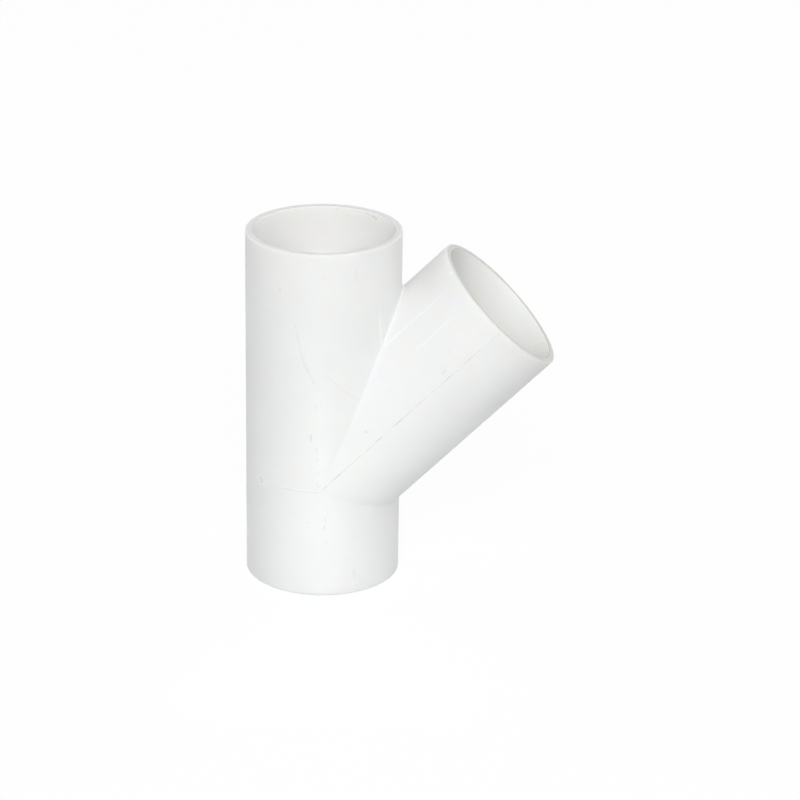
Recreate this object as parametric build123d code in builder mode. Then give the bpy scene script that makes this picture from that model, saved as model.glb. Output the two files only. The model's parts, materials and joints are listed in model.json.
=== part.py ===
from build123d import *
import os
from math import cos, radians, sin

os.makedirs("parts", exist_ok=True)

# A 45 degree lateral wye for 2 inch thin-wall tube, moulded in one piece.
# The origin is the centre of the lower mouth, Z runs up the run and the branch leans towards +X.
# All lengths are in millimetres and all angles in degrees.

# The tube that each socket takes
tube_diameter = 50.8
tube_clearance = 0.1

# Sockets: straight bores with a lead-in at the mouth and a shoulder that stops the tube
socket_depth = 19.0
socket_wall = 2.7
stop_step = 1.5
lead_in_width = 0.3
lead_in_depth = 1.6
rim_round = 0.5

# Legs, each measured from the crossing of the two axes to its own mouth
branch_angle = 45.0
lower_leg = 41.0
upper_leg = 90.5
branch_leg = 90.2

# Outside of the crotch: the branch barrel is a hair slimmer than the run, and a small round fills the corner
branch_relief = 0.1
crotch_round = 1.2

# Gate witness: a low ring on the back of the run, at the height of the crossing
gate_angle = 219.0
gate_ring_radius = 2.2
gate_ring_width = 0.5
gate_ring_height = 0.25
gate_ring_root = 0.5

# Sizes that follow
socket_radius = tube_diameter / 2 + tube_clearance
waterway_radius = socket_radius - stop_step
run_radius = socket_radius + socket_wall
branch_radius = run_radius - branch_relief
run_length = lower_leg + upper_leg

# Places that follow
crossing = Vector(0, 0, lower_leg)
branch_axis = Vector(sin(radians(branch_angle)), 0, cos(radians(branch_angle)))
gate_axis = Vector(cos(radians(gate_angle)), sin(radians(gate_angle)), 0)

branch_root = Plane(origin=crossing, x_dir=(0, 1, 0), z_dir=branch_axis)
gate_face = Plane(origin=crossing + gate_axis * (run_radius + gate_ring_height), z_dir=gate_axis)

lower_mouth = Plane(origin=(0, 0, 0), x_dir=(1, 0, 0), z_dir=(0, 0, -1))
upper_mouth = Plane(origin=(0, 0, run_length), x_dir=(1, 0, 0), z_dir=(0, 0, 1))
branch_mouth = branch_root.offset(branch_leg)

# Each mouth with the length of waterway that is cored from it
legs = ((lower_mouth, lower_leg), (upper_mouth, upper_leg), (branch_mouth, branch_leg))

with BuildPart() as wye_body:
    # Outside barrels
    with BuildSketch(Plane.XY):
        Circle(run_radius)
    extrude(amount=run_length)
    with BuildSketch(branch_root):
        Circle(branch_radius)
    extrude(amount=branch_leg)

    # The crotch is the loop where the barrels meet, the only edge that is neither a circle nor a straight seam
    crotch = wye_body.edges().filter_by(lambda edge: edge.geom_type not in (GeomType.CIRCLE, GeomType.LINE))
    fillet(crotch, radius=crotch_round)

    # Waterway, stop shoulder and socket of each leg
    for mouth, leg in legs:
        with Locations(mouth):
            CounterBoreHole(
                radius=waterway_radius,
                counter_bore_radius=socket_radius,
                counter_bore_depth=socket_depth,
                depth=leg,
            )

    # Lead-in on the inner edge of each rim, and a round on its outer edge
    for mouth, leg in legs:
        rim_point = mouth.from_local_coords((socket_radius + socket_wall / 2, 0, 0))
        rim = wye_body.faces().sort_by_distance(rim_point)[0]
        bore_edge = rim.edges().sort_by(SortBy.RADIUS)[0]
        chamfer(bore_edge, length=lead_in_width, length2=lead_in_depth, reference=rim)
        rim = wye_body.faces().sort_by_distance(rim_point)[0]
        barrel_edge = rim.edges().sort_by(SortBy.RADIUS)[-1]
        fillet(barrel_edge, radius=rim_round)

    # Gate witness
    with BuildSketch(gate_face):
        Circle(gate_ring_radius)
        Circle(gate_ring_radius - gate_ring_width, mode=Mode.SUBTRACT)
    extrude(amount=-(gate_ring_height + gate_ring_root))

wye_body.part.label = "wye_body"
export_step(wye_body.part, "parts/wye_body.step")
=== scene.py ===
import json
from collections import namedtuple
from math import acos, atan2, ceil, cos, exp, hypot, pi, radians, sin, tan

import bmesh
import bpy
from mathutils import Matrix, Vector, noise


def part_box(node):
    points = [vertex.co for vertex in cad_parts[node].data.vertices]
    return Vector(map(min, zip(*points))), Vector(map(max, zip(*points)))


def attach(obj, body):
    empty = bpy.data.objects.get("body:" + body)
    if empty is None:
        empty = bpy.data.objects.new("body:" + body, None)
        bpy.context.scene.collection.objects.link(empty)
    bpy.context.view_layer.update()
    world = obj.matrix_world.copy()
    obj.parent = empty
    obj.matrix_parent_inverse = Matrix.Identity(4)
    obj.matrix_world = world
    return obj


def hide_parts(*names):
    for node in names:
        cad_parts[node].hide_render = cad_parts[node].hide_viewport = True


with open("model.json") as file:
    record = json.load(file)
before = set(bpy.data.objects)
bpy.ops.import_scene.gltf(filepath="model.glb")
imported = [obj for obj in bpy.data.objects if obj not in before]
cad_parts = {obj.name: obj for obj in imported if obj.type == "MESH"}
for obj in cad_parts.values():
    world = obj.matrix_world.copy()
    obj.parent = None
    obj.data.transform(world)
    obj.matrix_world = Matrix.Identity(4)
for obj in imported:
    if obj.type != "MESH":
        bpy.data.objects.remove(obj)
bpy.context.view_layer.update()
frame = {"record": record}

# A 45 degree lateral wye in white PVC, in the frame of the CAD part: the origin is the centre
# of the lower mouth, Z runs up the run and the branch leans towards +X. Lengths are in metres.

MM = 0.001

# ------------------------------------------------------------ sizes that the frame gives

LOW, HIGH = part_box("wye_body")
MOUNTS = {mount["name"]: mount for mount in frame["record"]["mounts"]}
BRANCH_MOUNT = Vector(MOUNTS["branch_socket"]["pos_m"])
BRANCH_AXIS = Vector(MOUNTS["branch_socket"]["axis"]).normalized()
BRANCH_ANGLE = acos(BRANCH_AXIS.z)
SIDE = Vector((0, 1, 0))
BRANCH_UP = BRANCH_AXIS.cross(SIDE)

CROSSING = Vector((0, 0, BRANCH_MOUNT.z - BRANCH_MOUNT.x / tan(BRANCH_ANGLE)))
RUN_LENGTH = HIGH.z
SOCKET_RADIUS = MOUNTS["upper_socket"]["dims"]["r_mm"] * MM

# ------------------------------------------------------------ the moulding's own details

# The barrels stand back from the CAD box by the height of the moulding lines
LINE_HEIGHT = 0.05 * MM
BARREL_RADIUS = HIGH.y - LINE_HEIGHT

RIM_ROUND = 0.5 * MM
EDGE_BREAK = 0.05 * MM
LEAD_IN_WIDTH = 0.06 * MM
LEAD_IN_DEPTH = 1.6 * MM
LEAD_IN_RADIUS = SOCKET_RADIUS + LEAD_IN_WIDTH
SOCKET_DEPTH = 19 * MM
STOP_STEP = 1.5 * MM
WATERWAY_RADIUS = SOCKET_RADIUS - STOP_STEP
CROTCH_ROUND = 0.8 * MM
WATERWAY_ROUND = 0.6 * MM

# At 45 degrees, this puts the rounded low corner of the branch's rim on the side of the CAD box
BRANCH_LENGTH = (HIGH.x - RIM_ROUND) / sin(BRANCH_ANGLE) + 2 * RIM_ROUND - BARREL_RADIUS

# The gate's ring on the back of the run. It carries a painted highlight, strongest on two sides,
# at these turns about it
GATE_ANGLE = radians(219.5)
GATE_RADIUS = 2.2 * MM
GATE_WIDTH = 0.32 * MM
GATE_HEIGHT = 0.24 * MM
GATE_SINK = 0.04 * MM
GATE_SINK_SPREAD = 0.75
GATE_NEAR_SIDE = -0.2
GATE_NEAR_SPREAD = 1.0
GATE_FAR_SIDE = 2.4
GATE_FAR_SPREAD = 0.5
GATE_FAR_HIGHLIGHT = 0.9
GATE_LEAST_HIGHLIGHT = 0.3
# Painted shade in a hollow just inside the ring by its near side, and in the ring's sunk middle
GATE_HOLLOW_RADIUS = GATE_RADIUS - 2.6 * GATE_WIDTH
GATE_HOLLOW_SPREAD = 0.9
GATE_HOLLOW_SHADE = 0.3
GATE_SINK_SHADE = 0.04

# The parting line: a fine groove under a low lip, with a painted highlight as a pale stripe above
# and painted shade as a dark stripe in the groove. Each has its place across the line, then its
# width, or its rise and its fall
PARTING_LIP = (0.1 * MM, 0.1 * MM, 0.4 * MM)
PARTING_GROOVE = (-0.1 * MM, 0.1 * MM)
PARTING_GROOVE_DEPTH = 0.06 * MM
PARTING_PALE = (0.4 * MM, 0.25 * MM)
PARTING_HIGHLIGHT = 0.2
PARTING_DARK = (-0.05 * MM, 0.16 * MM)
PARTING_SHADE = 0.65
PARTING_START = (0.1 * MM, 0.6 * MM)
PARTING_END = (0.3 * MM, 1.2 * MM)

# It is fainter in long and in short patches: their size, how faint, and a place in the noise
PARTING_LONG_PATCH = (9 * MM, 0.4, 0.5)
PARTING_SHORT_PATCH = (1.7 * MM, 0.1, 0)

# Round the run the line has less painted shade, dies out by the gate and is fainter beyond it
RUN_PARTING_SHADE = 0.45
RUN_PARTING_START = (0.1 * MM, 0.8 * MM)
RUN_PARTING_BY_GATE = (GATE_RADIUS + 1.5 * MM, GATE_RADIUS + 7 * MM)
RUN_PARTING_CHANGE = (GATE_ANGLE - radians(6), GATE_ANGLE + radians(6))
RUN_PARTING_BEYOND = 0.3

# Witness lines of the mould insert that forms the crotch, by their angle from the crotch's side
INSERT_LINE = radians(40)
INSERT_BOW_RUN = radians(2.6)
INSERT_BOW_BRANCH = radians(0.3)
INSERT_BOW_SPREAD = radians(9)
INSERT_LIP = (0.12 * MM, 1.2 * MM)
INSERT_PALE_WIDTH = 0.26 * MM
INSERT_REACH_RUN = 18 * MM
INSERT_REACH_BRANCH = 34 * MM
INSERT_FULL_SHARE = 0.35
INSERT_START = (0.1 * MM, 0.7 * MM)
INSERT_END = (0.2 * MM, 2 * MM)

# A flow line on the branch, by its angle and the distances from the seam where it fades
FLOW_LINE = radians(59.2)
FLOW_START = (24 * MM, 28 * MM)
FLOW_END = (46 * MM, 42 * MM)
FLOW_LIP = (0.2 * MM, 0.6 * MM)
FLOW_PALE_WIDTH = 0.2 * MM
FLOW_HIGHLIGHT = 0.75

# The crotch's crease carries a painted highlight in its middle, and that fades out between these
# angles from it
CREASE_FADE = (radians(78), radians(42))

# ------------------------------------------------------------ mesh density

COLUMN_STEP = radians(3)
ROW_STEP = 2.5 * MM
SOCKET_STEP = 3 * MM
FINE_STEP = 0.16 * MM
FINE_REACH = GATE_RADIUS + 0.6 * MM
LINE_OFFSETS = [step * MM for step in (0.07, 0.14, 0.21, 0.3, 0.42, 0.6, 0.9, 1.4)]
LINE_MARGIN = 0.2 * MM
CORNER_STEPS = 8
ROUND_STEPS = 6
WELD_DISTANCE = 0.00005 * MM
SMALL = 1e-6


def between(start, end, share):
    return start + (end - start) * share


def bell(distance, width):
    """1 at no distance, falling away on both sides."""
    return exp(-(distance / width) ** 2)


def lip(distance, rise, fall):
    """A step that rises fast before a line and falls slowly after it."""
    return bell(distance, rise if distance < 0 else fall)


def stripe(across, place, width):
    return bell(across - place, width)


def ease(value, start, end):
    """0 at start, 1 at end, smooth in between and level outside."""
    share = min(1, max(0, (value - start) / (end - start)))
    return share * share * (3 - 2 * share)


def spread(start, end, step):
    """Even values from start to end, no further apart than step."""
    count = max(1, ceil(abs(end - start) / step - SMALL))
    return [between(start, end, i / count) for i in range(count + 1)]


def with_line(angles, centre, offsets):
    """The angles with a fine set about centre, whose offsets are arc lengths on the barrel."""
    fine = {centre + side * offset / BARREL_RADIUS for offset in offsets for side in (-1, 1)} | {centre}
    low, high = min(angles), max(angles)
    reach = (max(offsets) + LINE_MARGIN) / BARREL_RADIUS
    kept = [a for a in angles if abs(a - centre) > reach or a in (low, high)]
    added = [a for a in fine if low < a < high]
    return sorted(set(kept + added))


def front_columns():
    """Angles from one side of the crotch to the other, fine at the lines that run along them."""
    angles = spread(-pi / 2, pi / 2, COLUMN_STEP)
    for centre in (-pi / 2, -FLOW_LINE, -INSERT_LINE, INSERT_LINE, pi / 2):
        angles = with_line(angles, centre, LINE_OFFSETS)
    return angles


def back_columns():
    """Angles round the back of the run, fine across the gate ring and at the two sides."""
    angles = spread(pi / 2, 3 * pi / 2, COLUMN_STEP)
    angles = with_line(angles, GATE_ANGLE, spread(FINE_STEP, FINE_REACH, FINE_STEP))
    for centre in (pi / 2, 3 * pi / 2):
        angles = with_line(angles, centre, LINE_OFFSETS)
    return angles


FRONT = front_columns()
BACK = back_columns()


def shares(length, fine):
    """Shares of the way from the crossing to a mouth: fine rows first if asked, then even ones."""
    first = spread(0, FINE_REACH, FINE_STEP) if fine else [0]
    even = spread(first[-1], length, ROW_STEP if fine else 2 * ROW_STEP)
    return [distance / length for distance in first + even[1:]]


# ------------------------------------------------------------ places on the barrels

def run_place(angle, height, radius):
    """A point at an angle from +X round the run's axis, at a height and a radius."""
    return Vector((radius * cos(angle), radius * sin(angle), height))


def branch_place(angle, reach, radius):
    """A point at an angle from the branch's upper side, so far along its axis from the crossing."""
    outward = BRANCH_UP * cos(angle) + SIDE * sin(angle)
    return CROSSING + BRANCH_AXIS * reach + outward * radius


# ------------------------------------------------------------ moulding marks
# Each mark is (lift, painted highlight, painted shade). distance is measured from the crossing's
# seam, and left is what is left from there to the mouth's round.

PLAIN = (0, 0, 0)
NOISE_LEVEL = 3.7
PATCH_RANGE = (0.35, 0.65)


def patchy(along, size, least, lane):
    """From least to 1 in patches of about size along a line, the same on each run."""
    wave = 0.5 + 0.5 * noise.noise(Vector((along / size, lane / size, NOISE_LEVEL)))
    return between(least, 1, ease(wave, *PATCH_RANGE))


def faded(mark, share):
    return tuple(value * share for value in mark)


def together(first, second):
    return tuple(a + b for a, b in zip(first, second))


def parting_mark(across, along):
    """The parting line, with a painted highlight above its lip and painted shade in its groove: across is
    positive on its upper side.
    """
    lip_place, rise, fall = PARTING_LIP
    strength = patchy(along, *PARTING_LONG_PATCH) * patchy(along, *PARTING_SHORT_PATCH)
    lift = LINE_HEIGHT * lip(across - lip_place, rise, fall)
    lift -= PARTING_GROOVE_DEPTH * stripe(across, *PARTING_GROOVE) * strength
    painted_highlight = PARTING_HIGHLIGHT * stripe(across, *PARTING_PALE)
    painted_shade = PARTING_SHADE * strength * stripe(across, *PARTING_DARK)
    return lift, painted_highlight, painted_shade


def gate_mark(sideways, above):
    """The gate's ring with a painted highlight, and a slightly sunk middle with painted shade that is
    greyer by the near side.
    """
    from_gate = hypot(sideways, above)
    turn = atan2(above, sideways)
    ring = stripe(from_gate, GATE_RADIUS - GATE_WIDTH, GATE_WIDTH)
    near_highlight = stripe(turn, GATE_NEAR_SIDE, GATE_NEAR_SPREAD)
    far_highlight = GATE_FAR_HIGHLIGHT * stripe(turn, GATE_FAR_SIDE, GATE_FAR_SPREAD)
    hollow = stripe(from_gate, GATE_HOLLOW_RADIUS, GATE_WIDTH)
    hollow *= stripe(turn, GATE_NEAR_SIDE, GATE_HOLLOW_SPREAD)
    middle = bell(from_gate / GATE_RADIUS, GATE_SINK_SPREAD)
    lift = GATE_HEIGHT * ring - GATE_SINK * middle
    # Painted highlight on the ring, strongest on two sides; painted shade in the sunk middle and in the
    # hollow by the near side
    painted_highlight = ring * between(GATE_LEAST_HIGHLIGHT, 1, max(near_highlight, far_highlight))
    painted_shade = GATE_SINK_SHADE * middle + GATE_HOLLOW_SHADE * hollow
    return lift, painted_highlight, painted_shade


def run_back_mark(angle, height):
    """The back of the run carries the parting line and the gate's ring."""
    above = height - CROSSING.z
    sideways = (angle - GATE_ANGLE) * BARREL_RADIUS
    share = ease(-BARREL_RADIUS * cos(angle), *RUN_PARTING_START)
    share *= ease(hypot(sideways, above), *RUN_PARTING_BY_GATE)
    share *= between(RUN_PARTING_BEYOND, 1, ease(angle, *RUN_PARTING_CHANGE))
    lift, painted_highlight, painted_shade = faded(parting_mark(above, angle * BARREL_RADIUS), share)
    return together((lift, painted_highlight, RUN_PARTING_SHADE * painted_shade), gate_mark(sideways, above))


def insert_mark(angle, distance, left, reach):
    """The line that the crotch's insert left, a low lip with a stripe of painted highlight, bright near
    the crotch and dying out at reach.
    """
    across = (INSERT_LINE - abs(angle)) * BARREL_RADIUS
    share = ease(distance, *INSERT_START) * ease(distance, reach, reach * INSERT_FULL_SHARE)
    share *= ease(left, *INSERT_END)
    lift = LINE_HEIGHT * lip(across, *INSERT_LIP)
    painted_highlight = bell(across, INSERT_PALE_WIDTH)
    return faded((lift, painted_highlight, 0), share)


def flow_mark(angle, distance):
    """A short line that the plastic's flow left along the branch: a low lip with a stripe of painted
    highlight.
    """
    across = (angle + FLOW_LINE) * BARREL_RADIUS
    share = ease(distance, *FLOW_START) * ease(distance, *FLOW_END)
    lift = LINE_HEIGHT * lip(across, *FLOW_LIP)
    painted_highlight = FLOW_HIGHLIGHT * bell(across, FLOW_PALE_WIDTH)
    return faded((lift, painted_highlight, 0), share)


def branch_side_mark(across, distance, left):
    """The parting line along the side of the branch, from the crossing to the mouth."""
    return faded(parting_mark(across, distance), ease(distance, *PARTING_START) * ease(left, *PARTING_END))


def run_upper_mark(angle, distance, left):
    return insert_mark(angle, distance, left, INSERT_REACH_RUN)


def branch_upper_mark(angle, distance, left):
    """The upper side of the branch: insert lines, the flow line and its half of the parting line."""
    mark = insert_mark(angle, distance, left, INSERT_REACH_BRANCH)
    mark = together(mark, flow_mark(angle, distance))
    return together(mark, branch_side_mark((pi / 2 - abs(angle)) * BARREL_RADIUS, distance, left))


def branch_lower_mark(angle, distance, left):
    return branch_side_mark((abs(angle - pi) - pi / 2) * BARREL_RADIUS, distance, left)


# ------------------------------------------------------------ the skin

class Skin:
    """Grids of spots that close into one mesh. A spot is a place with its painted highlight and painted
    shade.
    """

    def __init__(self):
        self.grids = []

    def add(self, rows, flip):
        self.grids.append((rows, flip))


# One barrel's side from the crossing's seam to a mouth. seam gives a column's seam by its angle,
# mark gives the mark at an angle, and bow is how far the insert lines bend sideways half way.
Patch = namedtuple("Patch", "place columns rows seam end mark bow flip")


def barrel_patch(skin, patch, radius):
    grid = []
    for share in patch.rows:
        row = []
        for angle in patch.columns:
            seam = patch.seam(angle)
            along = between(seam, patch.end, share)
            lift, painted_highlight, painted_shade = patch.mark(angle, abs(along - seam), abs(patch.end - along))
            lean = patch.bow * sin(pi * share) * bell(abs(angle) - INSERT_LINE, INSERT_BOW_SPREAD)
            turned = angle + (lean if angle > 0 else -lean)
            row.append((patch.place(turned, along, radius + lift), painted_highlight, painted_shade))
        grid.append(row)
    skin.add(grid, patch.flip)


def crease_highlight(angle, share):
    return ease(abs(angle), *CREASE_FADE) * sin(pi * share) ** 3


def corner_patch(skin, radius, round_radius, height, upper, flip, highlighted):
    """The round between the barrels, rolled by a ball that touches both and dies out at the sides."""
    reach = radius + round_radius
    grid = []
    for step in range(CORNER_STEPS + 1):
        share = step / CORNER_STEPS
        row = []
        for angle in FRONT:
            ball = run_place(angle, CROSSING.z + height * cos(angle), reach)
            from_run = run_place(angle, 0, 1)
            from_branch = BRANCH_UP * (cos(angle) if upper else -cos(angle)) + SIDE * sin(angle)
            turn = from_run.angle(from_branch)
            toward = from_run
            if turn > SMALL:
                toward = (from_run * sin((1 - share) * turn) + from_branch * sin(share * turn)) / sin(turn)
            # Painted highlight along the middle of the outer upper round
            painted_highlight = crease_highlight(angle, share) if highlighted else 0
            row.append((ball - toward * round_radius, painted_highlight, 0))
        grid.append(row)
    skin.add(grid, flip)


def crossing(skin, radius, round_radius, ends, outside):
    """Two barrels of one radius that cross, from their rounded meeting to the three ends."""
    low_end, high_end, branch_end = ends
    reach = radius + round_radius
    upper_height = reach / tan(BRANCH_ANGLE / 2)
    lower_height = -reach * tan(BRANCH_ANGLE / 2)
    low_rows = shares(CROSSING.z - low_end, outside)
    high_rows = shares(high_end - CROSSING.z, outside)
    branch_rows = shares(branch_end, outside)
    lower_side = [pi - angle for angle in FRONT]
    run_bow = INSERT_BOW_RUN if outside else 0
    branch_bow = INSERT_BOW_BRANCH if outside else 0

    def no_mark(*_):
        return PLAIN

    def back_low(angle, distance, _):
        return run_back_mark(angle, CROSSING.z - distance)

    def back_high(angle, distance, _):
        return run_back_mark(angle, CROSSING.z + distance)

    def level(_):
        return CROSSING.z

    def run_upper_seam(angle):
        return CROSSING.z + upper_height * cos(angle)

    def run_lower_seam(angle):
        return CROSSING.z + lower_height * cos(angle)

    def branch_upper_seam(angle):
        return upper_height * cos(angle)

    def branch_lower_seam(angle):
        return lower_height * cos(angle)

    patches = (
        Patch(run_place, BACK, high_rows, level, high_end, back_high, 0, not outside),
        Patch(run_place, BACK, low_rows, level, low_end, back_low, 0, outside),
        Patch(run_place, FRONT, high_rows, run_upper_seam, high_end, run_upper_mark, run_bow, not outside),
        Patch(run_place, FRONT, low_rows, run_lower_seam, low_end, no_mark, 0, outside),
        Patch(branch_place, FRONT, branch_rows, branch_upper_seam, branch_end,
              branch_upper_mark, branch_bow, outside),
        Patch(branch_place, lower_side, branch_rows, branch_lower_seam, branch_end,
              branch_lower_mark, 0, not outside),
    )
    for patch in patches:
        barrel_patch(skin, patch if outside else patch._replace(mark=no_mark), radius)
    corner_patch(skin, radius, round_radius, upper_height, True, outside, outside)
    corner_patch(skin, radius, round_radius, lower_height, False, not outside, False)


# Painted shade on the rim's round, flat and inner edge and down the lead-in, and each rim's share
# of it. The branch's rim takes more, so it is painted darker all round
ROUND_SHADE = 0.05
FLAT_SHADE = (0.16, 0.14)
INNER_EDGE_SHADE = (0.6, 0.55)
LEAD_IN_SHADE = (0.03, 0.02, 0.08)
RUN_RIM_SHARE = 1
BRANCH_RIM_SHARE = 2.2


def rim_profile():
    """(depth, radius, painted shade) over the rim's round and flat, to its sharp inner edge."""
    profile = []
    for step in range(ROUND_STEPS + 1):
        turn = pi / 2 * step / ROUND_STEPS
        depth = RIM_ROUND * (1 - sin(turn))
        radius = BARREL_RADIUS - RIM_ROUND * (1 - cos(turn))
        profile.append((depth, radius, ROUND_SHADE * sin(2 * turn)))
    profile.append((0, profile[-1][1] - EDGE_BREAK, FLAT_SHADE[0]))
    profile.append((0, LEAD_IN_RADIUS + 6 * EDGE_BREAK, FLAT_SHADE[1]))
    profile.append((0, LEAD_IN_RADIUS + EDGE_BREAK, INNER_EDGE_SHADE[0]))
    profile.append((EDGE_BREAK / 2, LEAD_IN_RADIUS + EDGE_BREAK / 4, INNER_EDGE_SHADE[1]))
    return profile


def socket_profile():
    """(depth, radius, painted shade) down the lead-in and the socket, over its stop, to the waterway."""
    profile = [
        (2 * EDGE_BREAK, LEAD_IN_RADIUS - EDGE_BREAK / 4, LEAD_IN_SHADE[0]),
        (LEAD_IN_DEPTH - EDGE_BREAK, SOCKET_RADIUS + EDGE_BREAK / 4, LEAD_IN_SHADE[1]),
        (LEAD_IN_DEPTH, SOCKET_RADIUS + EDGE_BREAK / 8, LEAD_IN_SHADE[2]),
    ]
    for depth in spread(LEAD_IN_DEPTH + EDGE_BREAK, SOCKET_DEPTH - EDGE_BREAK, SOCKET_STEP):
        profile.append((depth, SOCKET_RADIUS, 0))
    profile.append((SOCKET_DEPTH, SOCKET_RADIUS - EDGE_BREAK, 0))
    profile.append((SOCKET_DEPTH, WATERWAY_RADIUS + EDGE_BREAK, 0))
    profile.append((SOCKET_DEPTH + EDGE_BREAK, WATERWAY_RADIUS, 0))
    return profile


def mouth(skin, place, end, outward, column_sets, shade_share, flip):
    """Lathes a mouth about a barrel's axis. end is the mouth's plane along it."""
    for columns in column_sets:
        rows = []
        for depth, radius, painted_shade in rim_profile() + socket_profile():
            along = end - outward * depth
            rows.append([(place(angle, along, radius), 0, painted_shade * shade_share) for angle in columns])
        skin.add(rows, flip)


def add_grid(made, rows, flip):
    """One grid's vertices and faces. The layers painted_highlight and painted_shade are there already."""
    painted_highlight = made.verts.layers.float["painted_highlight"]
    painted_shade = made.verts.layers.float["painted_shade"]
    verts = []
    for row in rows:
        line = []
        for place, white, dark in row:
            vert = made.verts.new(place)
            vert[painted_highlight] = white
            vert[painted_shade] = dark
            line.append(vert)
        verts.append(line)
    for i in range(len(rows) - 1):
        for j in range(len(rows[0]) - 1):
            corners = [verts[i][j], verts[i][j + 1], verts[i + 1][j + 1], verts[i + 1][j]]
            made.faces.new(reversed(corners) if flip else corners)


def build_mesh(name, skin):
    """Joins the grids into one smooth closed mesh, with painted highlight and painted shade as its
    attributes.
    """
    made = bmesh.new()
    made.verts.layers.float.new("painted_highlight")
    made.verts.layers.float.new("painted_shade")
    for rows, flip in skin.grids:
        add_grid(made, rows, flip)
    bmesh.ops.remove_doubles(made, verts=made.verts, dist=WELD_DISTANCE)
    bmesh.ops.dissolve_degenerate(made, edges=made.edges, dist=WELD_DISTANCE)
    for face in made.faces:
        face.smooth = True
    mesh = bpy.data.meshes.new(name)
    made.to_mesh(mesh)
    made.free()
    piece = bpy.data.objects.new(name, mesh)
    bpy.context.scene.collection.objects.link(piece)
    return piece


def make_wye():
    skin = Skin()
    outer_ends = (RIM_ROUND, RUN_LENGTH - RIM_ROUND, BRANCH_LENGTH - RIM_ROUND)
    stop = SOCKET_DEPTH + EDGE_BREAK
    inner_ends = (stop, RUN_LENGTH - stop, BRANCH_LENGTH - stop)
    crossing(skin, BARREL_RADIUS, CROTCH_ROUND, outer_ends, True)
    crossing(skin, WATERWAY_RADIUS, WATERWAY_ROUND, inner_ends, False)
    run_columns = (FRONT, BACK)
    branch_columns = (FRONT, [pi - angle for angle in reversed(FRONT)])
    mouth(skin, run_place, 0, -1, run_columns, RUN_RIM_SHARE, True)
    mouth(skin, run_place, RUN_LENGTH, 1, run_columns, RUN_RIM_SHARE, False)
    mouth(skin, branch_place, BRANCH_LENGTH, 1, branch_columns, BRANCH_RIM_SHARE, True)
    return build_mesh("moulded_wye", skin)


# ------------------------------------------------------------ material

PVC_COLOR = (0.875, 0.870, 0.852)
# The inner walls are painted lighter and warmer: painted light, for the light that fills the bores
INSIDE_PAINTED_LIGHT_COLOR = (0.985, 0.962, 0.922)
INSIDE_SHARE = 0.95
# Pale nicks and the painted highlights take the first colour; dark marks of handling and the painted shade
# take the second
NICK_AND_HIGHLIGHT_COLOR = (0.975, 0.975, 0.97)
DIRT_AND_SHADE_COLOR = (0.40, 0.38, 0.35)

SURFACE = {
    "IOR": 1.5,
    "Specular IOR Level": 0.3,
    "Subsurface Weight": 1.0,
    "Subsurface Radius": (1.0, 0.9, 0.75),
    "Subsurface Scale": 1.5 * MM,
}
ROUGHNESS = (0.36, 0.46)

# Each noise has its scale in waves per metre and its detail
CLOUD_NOISE = (60, 5)
SPECKLE_NOISE = (900, 2)
SHAKE_NOISE = (350, 2)
HANDLING_NOISE = (25, 4)
NOISE_RANGE = (0.3, 0.7)
CLOUD_SHARE = 0.75
CLOUD_DEPTH = 0.015
SHAKE_REACH = 0.5 * MM
MARK_CORE = 0.15

# Marks of handling on each barrel: the points that a mark passes through, as its angle in degrees
# and its height or reach in mm, then the radius in mm it lies at, its width in mm and its strength.
# The places were picked in the photograph, then turned into these measures with its camera
OUTSIDE = BARREL_RADIUS / MM
SOCKET = SOCKET_RADIUS / MM
RIM = OUTSIDE - 1.5
RUN_SPECKS = (
    (((-120.2, 116.9),), OUTSIDE, 0.55, 0.30),
    (((-87.3, 122.4),), OUTSIDE, 0.45, 0.20),
    (((-101.2, 90.4), (-98.6, 87.6)), OUTSIDE, 1.00, 0.08),
    (((-94.6, 84.1), (-93.6, 83.3)), OUTSIDE, 0.60, 0.09),
    (((-90.3, 80.9),), OUTSIDE, 0.45, 0.18),
    (((-92.8, 74.6), (-92.1, 73.4)), OUTSIDE, 0.60, 0.08),
    (((-87.4, 66.1),), OUTSIDE, 0.40, 0.08),
    (((-96.0, 63.2), (-95.8, 61.0)), OUTSIDE, 0.40, 0.30),
    (((-92.4, 58.3), (-91.0, 56.4)), OUTSIDE, 0.60, 0.10),
    (((-91.4, 54.1), (-90.7, 53.1)), OUTSIDE, 0.50, 0.11),
    (((-90.8, 48.9), (-90.4, 48.3)), OUTSIDE, 0.60, 0.11),
    (((-91.4, 44.4), (-90.5, 43.1)), OUTSIDE, 0.50, 0.10),
    (((-85.4, 31.0), (-85.2, 29.5)), OUTSIDE, 0.42, 0.14),
    (((-98.7, 28.8),), OUTSIDE, 0.40, 0.30),
    (((-85.9, 27.8), (-85.6, 26.1)), OUTSIDE, 0.48, 0.20),
    (((-85.0, 22.4), (-84.2, 20.9)), OUTSIDE, 0.60, 0.07),
    (((-63.3, 9.2), (-62.6, 6.6)), OUTSIDE, 0.90, 0.08),
    (((-62.0, 5.4),), OUTSIDE, 0.70, 0.06),
)
RUN_HAIRLINES = (
    (((-108.0, 104.8), (-105.0, 97.4), (-102.0, 91.9), (-98.2, 87.9), (-95.3, 85.3)), OUTSIDE, 0.30, 0.13),
    (((-87.4, 86.2), (-81.6, 84.6), (-75.0, 81.4), (-65.9, 77.8), (-60.3, 75.5)), OUTSIDE, 0.32, 0.10),
    (((-64.4, 126.1), (-62.0, 120.3)), OUTSIDE, 0.60, 0.07),
)
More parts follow.
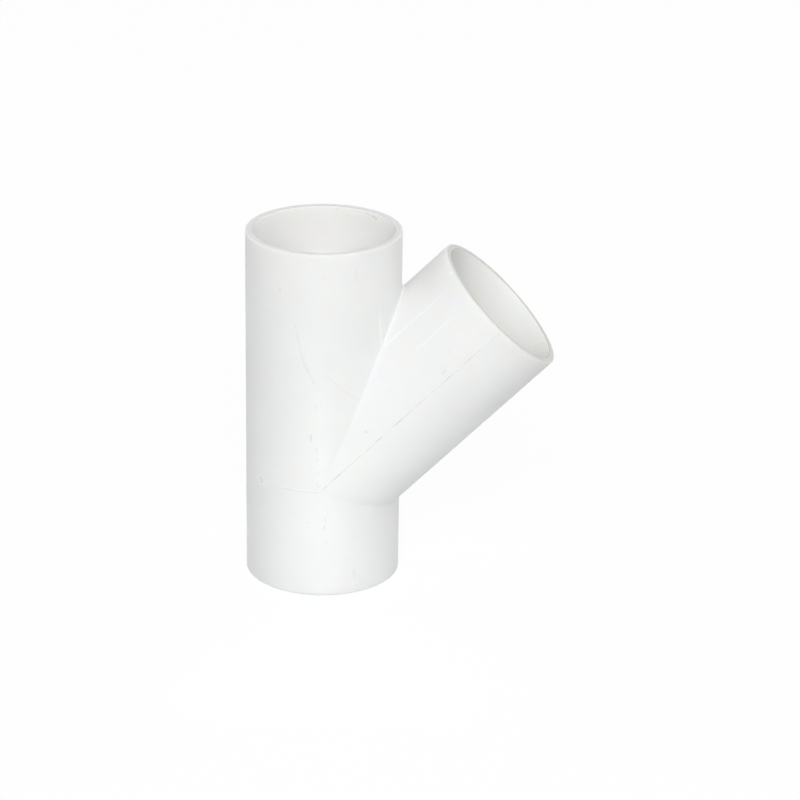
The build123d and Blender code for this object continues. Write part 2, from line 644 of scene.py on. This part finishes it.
RUN_SOCKET_SCUFFS = (
    (((91.2, 121.4),), SOCKET, 0.50, 0.12),
    (((82.0, 130.4),), SOCKET, 0.60, 0.25),
    (((66.0, 130.7), (60.0, 130.6)), SOCKET, 0.50, 0.10),
    (((57.2, 130.6), (53.0, 130.4)), SOCKET, 0.55, 0.22),
    (((53.0, 129.0),), SOCKET, 0.80, 0.10),
    (((49.6, 130.2), (46.8, 129.8), (44.6, 129.5)), SOCKET, 0.60, 0.30),
    (((36.0, 129.6),), SOCKET, 0.90, 0.12),
)
RUN_NICKS = (
    (((-41.0, 101.5), (-39.6, 95.6)), OUTSIDE, 0.35, 0.60),
    (((-37.4, 97.2), (-38.4, 94.6)), OUTSIDE, 0.30, 0.50),
)
BRANCH_SPECKS = (
    (((-91.1, 12.9),), OUTSIDE, 0.50, 0.18),
    (((-79.6, 28.7),), OUTSIDE, 0.60, 0.30),
    (((-90.0, 42.1),), OUTSIDE, 0.50, 0.18),
    (((-90.2, 56.9),), OUTSIDE, 0.60, 0.16),
    (((-85.0, 64.3), (-84.4, 65.4)), OUTSIDE, 0.80, 0.12),
    (((-90.8, 68.6),), OUTSIDE, 0.60, 0.16),
    (((-76.4, 71.3),), OUTSIDE, 0.45, 0.25),
    (((-90.6, 77.3),), OUTSIDE, 0.50, 0.22),
    (((-90.2, 85.9),), OUTSIDE, 0.55, 0.16),
    (((-90.8, 88.8),), OUTSIDE, 0.60, 0.26),
    (((161.5, 88.4),), SOCKET, 0.60, 0.35),
)
BRANCH_NICKS = (
    (((-30.4, 88.9),), OUTSIDE, 0.80, 0.90),
    (((107.7, 90.1),), RIM, 0.80, 1.00),
)


class Nodes:
    """Adds shader nodes to a tree, each given its inputs as sockets, numbers or vectors."""

    def __init__(self, tree):
        self.tree = tree

    def add(self, kind, *inputs, **settings):
        node = self.tree.nodes.new(kind)
        for name, value in settings.items():
            setattr(node, name, value)
        for socket, value in zip(node.inputs, inputs):
            if isinstance(value, bpy.types.NodeSocket):
                self.tree.links.new(value, socket)
            elif value is not None:
                socket.default_value = value
        return node

    def math(self, operation, *inputs, clamp=False):
        return self.add("ShaderNodeMath", *inputs, operation=operation, use_clamp=clamp).outputs[0]

    def vector(self, operation, *inputs):
        """Vector maths. The value output is the one that a distance or a dot product gives."""
        node = self.add("ShaderNodeVectorMath", *inputs, operation=operation)
        return node.outputs["Value" if operation in ("DOT_PRODUCT", "DISTANCE") else "Vector"]

    def scaled(self, vector, scale):
        node = self.add("ShaderNodeVectorMath", vector, operation="SCALE")
        if isinstance(scale, bpy.types.NodeSocket):
            self.tree.links.new(scale, node.inputs["Scale"])
        else:
            node.inputs["Scale"].default_value = scale
        return node.outputs["Vector"]

    def ramp(self, value, low, high, to_low, to_high):
        """value from low to high becomes to_low to to_high, smoothly and level outside."""
        node = self.add("ShaderNodeMapRange", value, low, high, to_low, to_high)
        node.interpolation_type = "SMOOTHSTEP"
        return node.outputs["Result"]

    def noise(self, position, scale, detail):
        node = self.add("ShaderNodeTexNoise", position)
        node.inputs["Scale"].default_value = scale
        node.inputs["Detail"].default_value = detail
        return node

    def mixed(self, share, first, second):
        """One colour painted over another. The second is a plain colour."""
        node = self.add("ShaderNodeMix", data_type="RGBA", clamp_factor=True)
        self.tree.links.new(share, node.inputs["Factor"])
        self.tree.links.new(first, node.inputs["A"])
        node.inputs["B"].default_value = (*second, 1)
        return node.outputs["Result"]

    def attribute(self, name):
        return self.add("ShaderNodeAttribute", attribute_name=name).outputs["Fac"]


def unrolled(made, position, origin, toward, across, axis):
    """A barrel's surface laid flat, in metres: the way round it, the way along it and its radius."""
    offset = made.vector("SUBTRACT", position, origin)
    a = made.vector("DOT_PRODUCT", offset, toward)
    b = made.vector("DOT_PRODUCT", offset, across)
    along = made.vector("DOT_PRODUCT", offset, axis)
    radius = made.math("SQRT", made.math("ADD", made.math("MULTIPLY", a, a), made.math("MULTIPLY", b, b)))
    arc = made.math("MULTIPLY", made.math("ARCTAN2", b, a), BARREL_RADIUS)
    return made.add("ShaderNodeCombineXYZ", arc, along, radius).outputs["Vector"]


def mark_point(spot, radius):
    angle, along = spot
    return Vector((radians(angle) * BARREL_RADIUS, along * MM, radius * MM))


def from_line(made, flat, start, end):
    """How far the flat position is from the straight line between two points."""
    span = end - start
    offset = made.vector("SUBTRACT", flat, start)
    share = made.math("ADD", made.vector("DOT_PRODUCT", offset, span / span.length_squared), 0, clamp=True)
    return made.vector("DISTANCE", offset, made.scaled(span, share))


def marked(made, flat, marks):
    """The strongest of the marks at a place."""
    strongest = None
    for spots, radius, width, strength in marks:
        points = [mark_point(spot, radius) for spot in spots]
        if len(points) == 1:
            distances = [made.vector("DISTANCE", flat, points[0])]
        else:
            distances = [from_line(made, flat, *pair) for pair in zip(points, points[1:])]
        for distance in distances:
            mask = made.ramp(distance, MARK_CORE * width * MM, width * MM, strength, 0)
            strongest = mask if strongest is None else made.math("MAXIMUM", strongest, mask)
    return strongest


def inner_walls(made, run_flat, branch_flat):
    """1 on the inner walls, which lie nearer to a barrel's axis than the rim does."""
    run = made.add("ShaderNodeSeparateXYZ", run_flat)
    branch = made.add("ShaderNodeSeparateXYZ", branch_flat)
    in_run = made.math("LESS_THAN", run.outputs["Z"], LEAD_IN_RADIUS)
    in_branch = made.math("LESS_THAN", branch.outputs["Z"], LEAD_IN_RADIUS)
    ahead = made.math("GREATER_THAN", branch.outputs["Y"], 0)
    return made.math("MAXIMUM", in_run, made.math("MULTIPLY", in_branch, ahead))


def clouded_paint(made, position):
    """The PVC's own colour, faintly lighter and darker in clouds and specks."""
    cloud = made.noise(position, *CLOUD_NOISE).outputs["Fac"]
    speckle = made.noise(position, *SPECKLE_NOISE).outputs["Fac"]
    clouds = made.ramp(cloud, *NOISE_RANGE, 0, CLOUD_SHARE)
    specks = made.ramp(speckle, *NOISE_RANGE, 0, 1 - CLOUD_SHARE)
    paint = made.add("ShaderNodeMix", data_type="RGBA")
    paint.inputs["A"].default_value = (*[(1 - CLOUD_DEPTH) * c for c in PVC_COLOR], 1)
    paint.inputs["B"].default_value = (*[(1 + CLOUD_DEPTH) * c for c in PVC_COLOR], 1)
    made.tree.links.new(made.math("ADD", clouds, specks), paint.inputs["Factor"])
    return paint.outputs["Result"]


def small_shake(made, position):
    """A little noise for a flat position, so that marks have ragged edges."""
    shake = made.noise(position, *SHAKE_NOISE).outputs["Color"]
    centred = made.vector("SUBTRACT", shake, (0.5, 0.5, 0.5))
    return made.scaled(centred, SHAKE_REACH)


def marks_and_painted_light(made, position):
    """The clouded colour with inner walls painted lighter as painted light, painted highlights, painted
    shade and marks of handling.
    """
    run_flat = unrolled(made, position, (0, 0, 0), (1, 0, 0), (0, 1, 0), (0, 0, 1))
    branch_flat = unrolled(made, position, CROSSING, BRANCH_UP, SIDE, BRANCH_AXIS)
    # Painted light: the inner walls, nearer the axes than the rim, are painted lighter and warmer
    inner_painted_light = made.math("MULTIPLY", inner_walls(made, run_flat, branch_flat), INSIDE_SHARE)
    shake = small_shake(made, position)
    run_flat = made.vector("ADD", run_flat, shake)
    branch_flat = made.vector("ADD", branch_flat, shake)
    run_dark = marked(made, run_flat, RUN_SPECKS + RUN_HAIRLINES + RUN_SOCKET_SCUFFS)
    branch_dark = marked(made, branch_flat, BRANCH_SPECKS)
    run_light = marked(made, run_flat, RUN_NICKS)
    branch_light = marked(made, branch_flat, BRANCH_NICKS)
    dark = made.math("MAXIMUM", run_dark, branch_dark)
    light = made.math("MAXIMUM", run_light, branch_light)
    color = made.mixed(inner_painted_light, clouded_paint(made, position), INSIDE_PAINTED_LIGHT_COLOR)
    # Painted highlights and pale nicks, then painted shade and dark marks of handling, over the colour
    color = made.mixed(made.math("MAXIMUM", made.attribute("painted_highlight"), light), color, NICK_AND_HIGHLIGHT_COLOR)
    return made.mixed(made.math("MAXIMUM", made.attribute("painted_shade"), dark), color, DIRT_AND_SHADE_COLOR)


def white_pvc():
    """Satin rigid PVC, faintly clouded, with the moulding's lines, painted highlights and shade, and the
    marks of handling.
    """
    material = bpy.data.materials.new("white_pvc")
    material.use_nodes = True
    made = Nodes(material.node_tree)
    shader = material.node_tree.nodes["Principled BSDF"]
    shader.subsurface_method = "RANDOM_WALK"
    for name, value in SURFACE.items():
        shader.inputs[name].default_value = value
    position = made.add("ShaderNodeTexCoord").outputs["Object"]
    made.tree.links.new(marks_and_painted_light(made, position), shader.inputs["Base Color"])
    handled = made.noise(position, *HANDLING_NOISE).outputs["Fac"]
    made.tree.links.new(made.ramp(handled, *NOISE_RANGE, *ROUGHNESS), shader.inputs["Roughness"])
    return material


# ------------------------------------------------------------ studio
# Azimuth 0 is in front of the fitting, at -Y, and 90 is at +X. Angles are in degrees.

LIGHT_COLOR = (0.96, 0.982, 1.0)
WORLD_STRENGTH = 0.32
PAPER_WHITE = 1.0

FLOOR_HALF = 4.0
FLOOR_GAP = 0.05 * MM
FLOOR_LIGHT_COLOR = (0.73, 0.73, 0.73)
FLOOR_SEEN_COLOR = (0.98, 0.98, 0.98)
FLOOR_GLOW_SHARE = 0.95

# Soft boxes, each with its azimuth, its elevation and its power in watts. The powers were fitted
# to the photograph's tones, then changed
LAMP_DISTANCE = 2.0
LAMP_SIZE = 1.2
LAMPS = {
    "key": (0, 34, 26.4),
    "left": (-125, 30, 8),
    "right": (125, 30, 11),
}

# A small weak panel low in front, which lights the foot of the run as a bright table does
CARD_SIZE = (0.04, 0.02)
CARD_POWER = 0.014
CARD_PLACE = Vector((0, -0.13, 0.012))
CARD_TARGET = Vector((0, 0, 0.03))

# The camera, fitted to the fitting's outline in the photograph. The lens and the sensor are in mm
CAMERA_AZIMUTH = 1.385
CAMERA_ELEVATION = 22.218
CAMERA_ROLL = radians(0.815)
CAMERA_DISTANCE = 1.1613
CAMERA_LENS = 143.4
CAMERA_SENSOR = 36
CAMERA_TARGET = Vector((0.028, 0, 0.0662))


def seen_rays(tree):
    """1 for the rays that see the backdrop as white: camera, mirror and glass rays."""
    path = tree.nodes.new("ShaderNodeLightPath")
    seen = path.outputs["Is Camera Ray"]
    for ray in ("Is Glossy Ray", "Is Transmission Ray"):
        either = tree.nodes.new("ShaderNodeMath")
        either.operation = "MAXIMUM"
        tree.links.new(seen, either.inputs[0])
        tree.links.new(path.outputs[ray], either.inputs[1])
        seen = either.outputs[0]
    return seen


def white_to_the_eye(tree, for_light, for_eye, out):
    mix = tree.nodes.new("ShaderNodeMixShader")
    tree.links.new(seen_rays(tree), mix.inputs["Fac"])
    tree.links.new(for_light, mix.inputs[1])
    tree.links.new(for_eye, mix.inputs[2])
    tree.links.new(mix.outputs[0], out.inputs["Surface"])


def make_world():
    world = bpy.data.worlds.new("studio")
    bpy.context.scene.world = world
    world.use_nodes = True
    tree = world.node_tree
    tree.nodes.clear()
    out = tree.nodes.new("ShaderNodeOutputWorld")
    light = tree.nodes.new("ShaderNodeBackground")
    light.inputs["Color"].default_value = (*LIGHT_COLOR, 1)
    light.inputs["Strength"].default_value = WORLD_STRENGTH
    eye = tree.nodes.new("ShaderNodeBackground")
    eye.inputs["Color"].default_value = (1, 1, 1, 1)
    eye.inputs["Strength"].default_value = PAPER_WHITE
    white_to_the_eye(tree, light.outputs[0], eye.outputs[0], out)


def floor_material():
    """White paper, nearly shadowless to the eye and greyer to the light that it throws back."""
    material = bpy.data.materials.new("studio_floor")
    material.use_nodes = True
    tree = material.node_tree
    tree.nodes.clear()
    out = tree.nodes.new("ShaderNodeOutputMaterial")
    paper = tree.nodes.new("ShaderNodeBsdfDiffuse")
    paper.inputs["Color"].default_value = (*FLOOR_SEEN_COLOR, 1)
    matt = tree.nodes.new("ShaderNodeBsdfDiffuse")
    matt.inputs["Color"].default_value = (*FLOOR_LIGHT_COLOR, 1)
    glow = tree.nodes.new("ShaderNodeEmission")
    glow.inputs["Strength"].default_value = PAPER_WHITE
    pale = tree.nodes.new("ShaderNodeMixShader")
    pale.inputs["Fac"].default_value = FLOOR_GLOW_SHARE
    tree.links.new(paper.outputs[0], pale.inputs[1])
    tree.links.new(glow.outputs[0], pale.inputs[2])
    white_to_the_eye(tree, matt.outputs[0], pale.outputs[0], out)
    return material


def make_floor():
    below = LOW.z - FLOOR_GAP
    corners = [(x * FLOOR_HALF, y * FLOOR_HALF, below) for x, y in ((-1, -1), (1, -1), (1, 1), (-1, 1))]
    mesh = bpy.data.meshes.new("studio_floor")
    mesh.from_pydata(corners, [], [(0, 1, 2, 3)])
    floor = bpy.data.objects.new("studio_floor", mesh)
    bpy.context.scene.collection.objects.link(floor)
    mesh.materials.append(floor_material())


def direction(azimuth, elevation):
    """From the fitting towards a place in the studio."""
    a, e = radians(azimuth), radians(elevation)
    return Vector((sin(a) * cos(e), -cos(a) * cos(e), sin(e)))


def area_light(name, place, facing, power):
    """An area light of the studio's colour, whose size its maker sets."""
    data = bpy.data.lights.new(name, "AREA")
    data.energy = power
    data.color = LIGHT_COLOR
    light = bpy.data.objects.new(name, data)
    bpy.context.scene.collection.objects.link(light)
    light.location = place
    light.rotation_mode = "QUATERNION"
    light.rotation_quaternion = facing.to_track_quat("-Z", "Y")
    return light


def make_lamps():
    """Square soft boxes that face the fitting."""
    for name, (azimuth, elevation, power) in LAMPS.items():
        back = direction(azimuth, elevation)
        lamp = area_light(name, (LOW + HIGH) / 2 + back * LAMP_DISTANCE, -back, power)
        lamp.data.shape = "SQUARE"
        lamp.data.size = LAMP_SIZE


def make_card():
    card = area_light("low_card", CARD_PLACE, CARD_TARGET - CARD_PLACE, CARD_POWER)
    card.data.shape = "RECTANGLE"
    card.data.size, card.data.size_y = CARD_SIZE
    card.visible_camera = False


def make_camera():
    data = bpy.data.cameras.new("camera")
    data.sensor_width = CAMERA_SENSOR
    data.lens = CAMERA_LENS
    camera = bpy.data.objects.new("camera", data)
    bpy.context.scene.collection.objects.link(camera)
    back = direction(CAMERA_AZIMUTH, CAMERA_ELEVATION)
    level = Vector((0, 0, 1)).cross(back).normalized()
    upright = back.cross(level)
    right = level * cos(CAMERA_ROLL) + upright * sin(CAMERA_ROLL)
    up = upright * cos(CAMERA_ROLL) - level * sin(CAMERA_ROLL)
    turn = Matrix((right, up, back)).transposed()
    camera.matrix_world = Matrix.Translation(CAMERA_TARGET + back * CAMERA_DISTANCE) @ turn.to_4x4()
    bpy.context.scene.camera = camera


wye = make_wye()
wye.data.materials.append(white_pvc())
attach(wye, "root")
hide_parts("wye_body")

make_floor()
make_world()
make_lamps()
make_card()
make_camera()
bpy.context.scene.view_settings.view_transform = "Standard"
